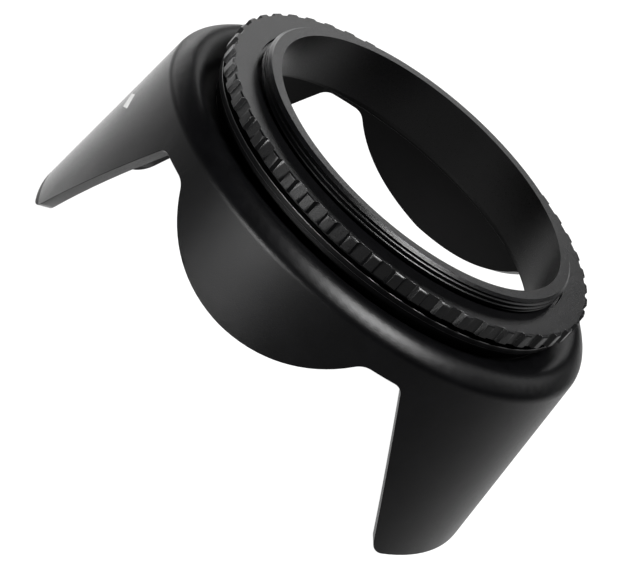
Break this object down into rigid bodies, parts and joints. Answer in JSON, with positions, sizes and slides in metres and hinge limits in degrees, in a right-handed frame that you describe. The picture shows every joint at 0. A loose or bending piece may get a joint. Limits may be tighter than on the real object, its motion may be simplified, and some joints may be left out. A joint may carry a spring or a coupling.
{
  "type": "lens hood",
  "caption": "Screw-in petal lens hood: flared petal shell on a threaded ring, clamped by a knurled lock ring.",
  "frame": {"origin": "on the optical axis, in the plane of the two long petals' tips, which the hood stands on", "axes": "+Z along the optical axis towards the rear thread that enters the lens; the long petals lie at +X and -X, the short petals at +Y and -Y"},
  "size_m": [0.0838, 0.0812, 0.0424],
  "materials": {
    "moulded_shell": "fine moulded grain, satin black",
    "ring_plastic": "turned satin black",
    "knurl_plastic": "satin black, slightly worn rib edges",
    "washer_plastic": "smooth satin black",
    "mark_paint": "off-white filled paint"
  },
  "bodies": {
    "mount": {"mount_ring": "ring_plastic"},
    "shell": {"petal_shell": "moulded_shell", "index_mark": "mark_paint"},
    "washer": {"slip_washer": "washer_plastic"},
    "lock": {"lock_ring": "knurl_plastic"}
  },
  "joints": [
    {"name": "shell_turn", "type": "hinge", "parent": "mount", "child": "shell", "pos_m": [0, 0, 0.034], "axis": [0, 0, 1], "continuous": true},
    {"name": "lock_ring_rise", "type": "slide", "parent": "mount", "child": "washer", "axis": [0, 0, 1], "range_m": [0, 0.001]},
    {"name": "lock_ring_turn", "type": "hinge", "parent": "washer", "child": "lock", "pos_m": [0, 0, 0.038], "axis": [0, 0, 1], "range_deg": [0, 360]}
  ],
  "couplings": [
    {"joint": "lock_ring_rise", "follows": "lock_ring_turn", "m_per_rad": 0.000159}
  ]
}
